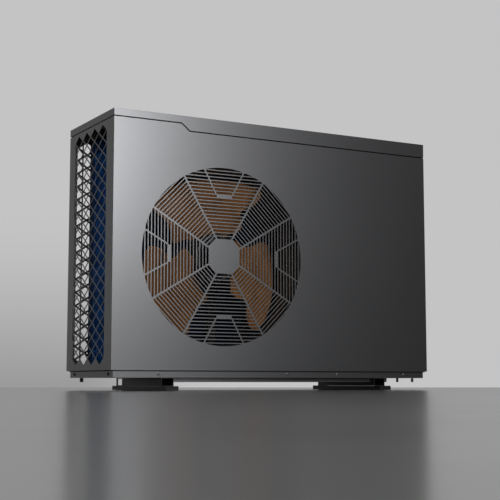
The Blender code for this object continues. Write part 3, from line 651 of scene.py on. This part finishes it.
def make_screws():
    """Screws on the pan's rim, the rear and right panels and the service cover."""
    pan_low, pan_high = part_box("base_pan")
    z = CORNER.z - 0.0095
    for number, x in enumerate((0.136, 0.527, 0.691, 0.922)):
        screw("pan_screw_front_%d" % (number + 1), (CORNER.x + x, pan_low.y, z), "front", "graphite_paint")
    for number, y in enumerate((0.040, 0.284)):
        screw("pan_screw_left_%d" % (number + 1), (pan_low.x, CORNER.y + y, z), "left", "black_steel")
        screw("pan_screw_right_%d" % (number + 1), (pan_high.x, CORNER.y + y, z), "right", "black_steel")
    back = CORNER.y + DEPTH
    for number, x in enumerate((0.640, 0.810, 0.985)):
        for level, height in (("low", 0.012), ("high", 0.640)):
            screw("rear_screw_%s_%d" % (level, number + 1), (CORNER.x + x, back, CORNER.z + height), "back")
    right = CORNER.x + WIDTH
    for level, height in (("low", 0.012), ("middle", 0.300), ("high", 0.640)):
        for edge, y in (("front", 0.014), ("rear", 0.312)):
            screw("side_screw_%s_%s" % (level, edge), (right, CORNER.y + y, CORNER.z + height), "right")
    low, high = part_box("service_cover")
    for level, height in (("low", low.z + 0.010), ("high", high.z - 0.010)):
        for edge, y in (("front", low.y + 0.012), ("rear", high.y - 0.012)):
            screw("service_screw_%s_%s" % (level, edge), (right, y, height), "right")


make_screws()


# ================================================================ black strips that paint the seams' shade
def make_seam_shade_strips():
    """Black strips under the panels' bottom edges, and behind the seams under the cover: painted shade, standing
    in for the shadow in these seams.
    """
    low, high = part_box("base_pan")
    out, thick = 0.0040, 0.0022
    z0, z1 = CORNER.z - thick, CORNER.z - 0.0003
    # each strip is a black sheet put where the seams are only in shadow: painted shade, not a real seal
    spans = {
        "seam_shade_front": ((low.x - out, low.y - out, z0), (high.x + out, low.y - 0.0002, z1)),
        "seam_shade_rear": ((low.x - out, high.y + 0.0002, z0), (high.x + out, high.y + out, z1)),
        "seam_shade_left": ((low.x - out, low.y, z0), (low.x - 0.0002, high.y, z1)),
        "seam_shade_right": ((high.x + 0.0002, low.y, z0), (high.x + out, high.y, z1)),
    }
    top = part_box("left_side_panel")[1].z - CORNER.z
    inner, outer, z0, z1 = SHEET + 0.0005, SHEET + 0.0030, top - 0.005, top + 0.008
    spans["seal_top_left"] = (at(inner, 0.004, z0), at(outer, DEPTH - 0.004, z1))
    spans["seal_top_right"] = (at(WIDTH - outer, 0.004, z0), at(WIDTH - inner, DEPTH - 0.004, z1))
    spans["seal_top_rear"] = (at(outer, DEPTH - outer, z0), at(WIDTH - outer, DEPTH - inner, z1))
    for name, span in spans.items():
        rounded(piece(name, boxes([span]), "rubber"), 0.0004)


make_seam_shade_strips()


# ================================================================ water unions
NUT_LUGS = 16


def make_unions():
    """Ribbed union nuts, which turn on the water tubes."""
    for side in ("inlet", "outlet"):
        name = "union_nut_" + side
        low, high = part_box(name)
        centre = Vector(((low.x + high.x) / 2, 0, (low.z + high.z) / 2))
        y0, y1 = low.y, high.y
        profile = [(0.0310, y1), (0.0345, y1), (0.0358, y1 - 0.0012), (0.0358, y0 + 0.0012),
                   (0.0345, y0), (0.0258, y0), (0.0258, y0 + 0.008), (0.0310, y0 + 0.008)]
        piece(name + "_ring", lathe(profile, centre, 96), "black_plastic", side + "_nut", [name])
        bm = bmesh.new()
        for number in range(NUT_LUGS):
            turn = Matrix.Translation(centre) @ Matrix.Rotation(math.tau * number / NUT_LUGS, 4, "Y")
            verts = box_into(bm, (0.0352, y0 + 0.003, -0.0024), (0.0379, y1 - 0.003, 0.0024))
            bmesh.ops.transform(bm, matrix=turn, verts=verts)
        mesh = bpy.data.meshes.new("lugs")
        bm.to_mesh(mesh)
        bm.free()
        rounded(piece(name + "_lugs", mesh, "black_plastic", side + "_nut"), 0.0006)


make_unions()


# ================================================================ floor, light and camera
CAMERA = at(-1.1295, -2.7643, -0.0290)
HEADING = math.radians(29.006)     # from straight back towards the right
RISE = math.radians(6.452)         # how far the camera looks up
LENS = 83.75
FLOOR_END = 4.67                   # from the camera, along its heading
BACKDROP = 0.552
SIDE_LEVEL = 0.72                  # the backdrop's brightness well to the left, which the side panel mirrors
STUDIO_LEVEL = 0.08                # the studio in front of the unit, as a share of the backdrop
COIL_LAMP = 0.20                   # the power of the lamp beside the coil
SOFTBOX_DISTANCE, SOFTBOX_SIZE = 3.6, 0.9
# softboxes in front of the unit: compass angle from straight ahead, elevation, power
SOFTBOXES = {
    "softbox_low": (8, 3, 9.0),
    "softbox_key": (8, 16, 49.0),
    "softbox_high": (8, 32, 27.0),
    "softbox_fill": (-25, 3, 13.0),
    "softbox_edge": (16, 3, 2.5),
}


def make_stage():
    """A floor that ends a short way behind the unit, so that its far edge is the horizon."""
    mesh = bpy.data.meshes.new("studio_floor")
    bm = bmesh.new()
    box_into(bm, (-9.0, -9.0, -0.02), (9.0, FLOOR_END, 0.0))
    bm.transform(Matrix.Rotation(-HEADING, 4, "Z"))
    bm.to_mesh(mesh)
    bm.free()
    mesh.materials.append(floor_material())
    floor = bpy.data.objects.new("studio_floor", mesh)
    bpy.context.scene.collection.objects.link(floor)
    floor.location = (CAMERA.x, CAMERA.y, -0.0003)


def area_light(name, place, target, size, power):
    """A rectangular white lamp that faces a target."""
    data = bpy.data.lights.new(name, "AREA")
    data.shape = "RECTANGLE"
    data.size, data.size_y = size
    data.energy = power
    light = bpy.data.objects.new(name, data)
    bpy.context.scene.collection.objects.link(light)
    light.location = place
    light.rotation_euler = (Vector(target) - Vector(place)).to_track_quat("-Z", "Y").to_euler()
    return light


def make_world():
    """A pale backdrop behind the unit, darker low on its left, and a dim studio in front."""
    world = bpy.data.worlds.new("studio")
    bpy.context.scene.world = world
    world.use_nodes = True
    tree = world.node_tree
    direction = tree.nodes.new("ShaderNodeTexCoord").outputs["Generated"]

    def component(vector, low, high):
        """How far the direction leans along a vector, as 0..1 between two limits."""
        dot = tree.nodes.new("ShaderNodeVectorMath")
        dot.operation = "DOT_PRODUCT"
        dot.inputs[1].default_value = vector
        tree.links.new(direction, dot.inputs[0])
        scale = tree.nodes.new("ShaderNodeMapRange")
        scale.interpolation_type = "SMOOTHSTEP"
        scale.inputs["From Min"].default_value = low
        scale.inputs["From Max"].default_value = high
        tree.links.new(dot.outputs["Value"], scale.inputs["Value"])
        return scale.outputs["Result"]

    def level(share, start, end):
        """A brightness that goes from start to end as a share goes from 0 to 1."""
        scale = tree.nodes.new("ShaderNodeMapRange")
        scale.inputs["To Min"].default_value = start
        scale.inputs["To Max"].default_value = end
        tree.links.new(share, scale.inputs["Value"])
        return scale.outputs["Result"]

    def product(one, other):
        times = tree.nodes.new("ShaderNodeMath")
        times.operation = "MULTIPLY"
        tree.links.new(one, times.inputs[0])
        tree.links.new(other, times.inputs[1])
        return times.outputs["Value"]

    right = (math.cos(HEADING), -math.sin(HEADING), 0.0)
    patch = product(product(component(right, -0.03, -0.15), component(right, -0.60, -0.35)),
                    component((0, 0, 1), 0.15, -0.06))
    behind = level(component((0, 1, 0), -0.35, 0.25), STUDIO_LEVEL, 1.0)
    dimmed = level(patch, 1.0, 0.50)
    beside = level(component(right, -0.35, -0.70), 1.0, SIDE_LEVEL)
    background = tree.nodes["Background"]
    background.inputs["Color"].default_value = (BACKDROP, BACKDROP, BACKDROP, 1)
    tree.links.new(product(product(dimmed, beside), behind), background.inputs["Strength"])


def make_lights():
    """A tall bank of softboxes to the front, whose sheen falls off along the front panel.

    A slim lamp inside the side window lifts the near end of the coil.
    """
    coil_low, coil_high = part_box("evaporator_coil")
    middle = (coil_low.z + coil_high.z) / 2
    lamp = area_light("coil_lamp", (coil_low.x - 0.012, CORNER.y + 0.120, middle),
                      (coil_low.x + 0.014, coil_low.y, middle), (0.016, 0.60), COIL_LAMP)
    lamp.data.spread = math.radians(45)
    centre = Vector((0, PANEL_LOW.y, 0.35))
    for name, (turn, rise, power) in SOFTBOXES.items():
        a, e = math.radians(turn), math.radians(rise)
        direction = Vector((math.sin(a) * math.cos(e), -math.cos(a) * math.cos(e), math.sin(e)))
        area_light(name, centre + SOFTBOX_DISTANCE * direction, centre, (SOFTBOX_SIZE, SOFTBOX_SIZE), power)


def make_camera():
    """The camera low in front of the unit's left side."""
    data = bpy.data.cameras.new("camera")
    data.sensor_width = 36.0
    data.lens = LENS
    data.clip_start = 0.02
    data.clip_end = 200.0
    camera = bpy.data.objects.new("camera", data)
    bpy.context.scene.collection.objects.link(camera)
    camera.location = CAMERA
    camera.rotation_euler = (math.radians(90) + RISE, 0, -HEADING)
    bpy.context.scene.camera = camera


make_stage()
make_world()
make_lights()
make_camera()
bpy.context.scene.view_settings.view_transform = "Standard"
